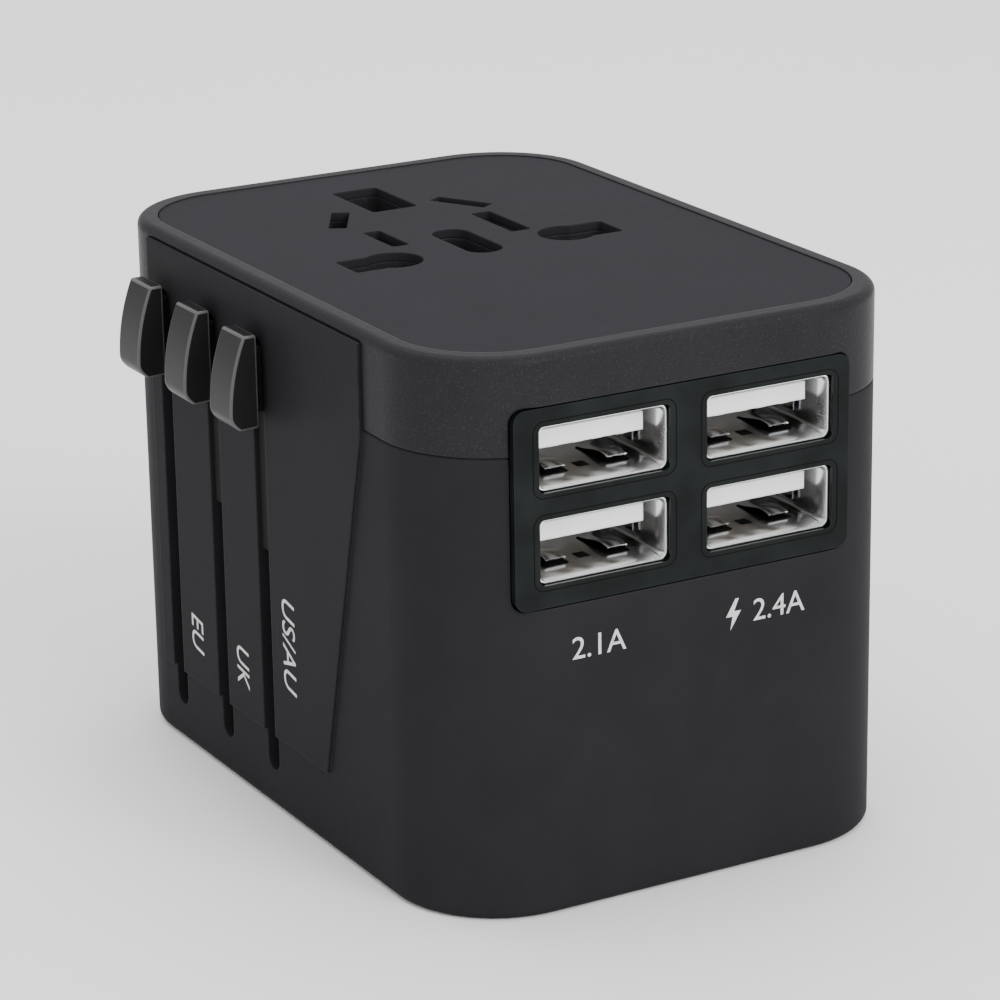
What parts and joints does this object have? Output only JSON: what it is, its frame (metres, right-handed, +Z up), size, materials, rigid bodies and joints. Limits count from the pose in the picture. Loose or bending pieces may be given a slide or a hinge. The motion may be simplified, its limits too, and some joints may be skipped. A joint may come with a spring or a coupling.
{
  "type": "universal travel adapter",
  "caption": "Pocket-sized mains travel adapter: a rounded box with a combination socket on top, USB charging ports in front and thumb sliders that push the plug pins out of its base.",
  "frame": {"origin": "centre of the bottom face of the casing", "axes": "+X right and +Y back when the USB ports face the reader, +Z up"},
  "size_m": [0.0549, 0.071, 0.053],
  "materials": {
    "housing_plastic": "fine satin charcoal moulding",
    "cap_plastic": "semi-gloss charcoal with a fine sparkle",
    "plate_plastic": "satin dark grey",
    "smoke_bezel": "smoked translucent grey, polished",
    "inner_plastic": "plain black moulding",
    "shutter_plastic": "plain grey moulding",
    "knob_plastic": "satin black with crisp edges",
    "carriage_plastic": "plain black moulding",
    "turret_plastic": "plain light grey moulding",
    "sleeve_plastic": "black insulating sleeve",
    "circuit_board": "green solder mask",
    "ferrite": "sintered dark grey",
    "winding": "yellow insulating tape",
    "capacitor_sleeve": "dark blue shrink sleeve",
    "chip_resin": "black moulding compound",
    "fuse_ceramic": "white ceramic",
    "tongue_plastic": "white insulator",
    "port_steel": "bright nickel-plated sheet",
    "gold_contact": "gold plated",
    "pin_metal": "nickel-plated brass",
    "contact_brass": "plain rolled brass",
    "nickel": "nickel plated",
    "screw_steel": "zinc-plated steel",
    "spring_steel": "bright spring steel"
  },
  "bodies": {
    "root": {"lower_housing": "housing_plastic", "top_cap": "cap_plastic", "socket_plate": "plate_plastic", "usb_bezel": "smoke_bezel", "partition_wall": "inner_plastic", "socket_block": "inner_plastic", "port_board": "circuit_board", "power_board": "circuit_board", "transformer_core": "ferrite", "transformer_winding": "winding", "capacitors": "capacitor_sleeve", "power_chips": "chip_resin", "fuse_tube": "fuse_ceramic", "fuse_end_caps": "nickel", "fuse_clips": "nickel", "usb_contacts": "gold_contact", "housing_screws": "screw_steel", "block_screws": "screw_steel", "line_socket_contact": "contact_brass", "neutral_socket_contact": "contact_brass", "earth_socket_contact": "contact_brass", "blade_socket_contacts": "contact_brass", "line_bus_bar": "contact_brass", "neutral_bus_bar": "contact_brass", "shutter_springs": "spring_steel", "release_spring": "spring_steel", "usb_shell_upper_left": "port_steel", "usb_tongue_upper_left": "tongue_plastic", "usb_shell_upper_right": "port_steel", "usb_tongue_upper_right": "tongue_plastic", "usb_shell_lower_left": "port_steel", "usb_tongue_lower_left": "tongue_plastic", "usb_shell_lower_right": "port_steel", "usb_tongue_lower_right": "tongue_plastic"},
    "us_slider": {"us_knob": "knob_plastic", "us_carriage": "carriage_plastic", "us_knob_screw": "screw_steel"},
    "uk_slider": {"uk_knob": "knob_plastic", "uk_carriage": "carriage_plastic", "uk_knob_screw": "screw_steel", "uk_line_neutral_pins": "pin_metal", "uk_earth_pin": "pin_metal", "uk_pin_sleeves": "sleeve_plastic"},
    "eu_slider": {"eu_knob": "knob_plastic", "eu_carriage": "carriage_plastic", "eu_knob_screw": "screw_steel", "eu_pins": "pin_metal", "eu_pin_sleeves": "sleeve_plastic"},
    "us_blade_left_turret": {"us_turret_left": "turret_plastic", "us_blade_left": "pin_metal"},
    "us_blade_right_turret": {"us_turret_right": "turret_plastic", "us_blade_right": "pin_metal"},
    "shutter": {"safety_shutter": "shutter_plastic"},
    "release_latch": {"release_button": "knob_plastic", "latch_plate": "spring_steel"}
  },
  "joints": [
    {"name": "us_slide", "type": "slide", "parent": "root", "child": "us_slider", "axis": [0, 0, -1], "range_m": [0, 0.0218]},
    {"name": "uk_slide", "type": "slide", "parent": "root", "child": "uk_slider", "axis": [0, 0, -1], "range_m": [0, 0.0236]},
    {"name": "eu_slide", "type": "slide", "parent": "root", "child": "eu_slider", "axis": [0, 0, -1], "range_m": [0, 0.022]},
    {"name": "us_blade_left_turn", "type": "hinge", "parent": "us_slider", "child": "us_blade_left_turret", "pos_m": [-0.00635, -0.007, 0.027], "axis": [0, 0, 1], "range_deg": [-30, 0]},
    {"name": "us_blade_right_turn", "type": "hinge", "parent": "us_slider", "child": "us_blade_right_turret", "pos_m": [0.00635, -0.007, 0.027], "axis": [0, 0, 1], "range_deg": [0, 30]},
    {"name": "shutter_slide", "type": "slide", "parent": "root", "child": "shutter", "axis": [0, -1, 0], "range_m": [0, 0.0052], "stiffness_N_per_m": 150, "springref_m": -0.002, "deforming": ["shutter_springs"]},
    {"name": "button_press", "type": "slide", "parent": "root", "child": "release_latch", "axis": [-1, 0, 0], "range_m": [0, 0.0018], "stiffness_N_per_m": 400, "springref_m": -0.002, "deforming": ["release_spring"]}
  ]
}
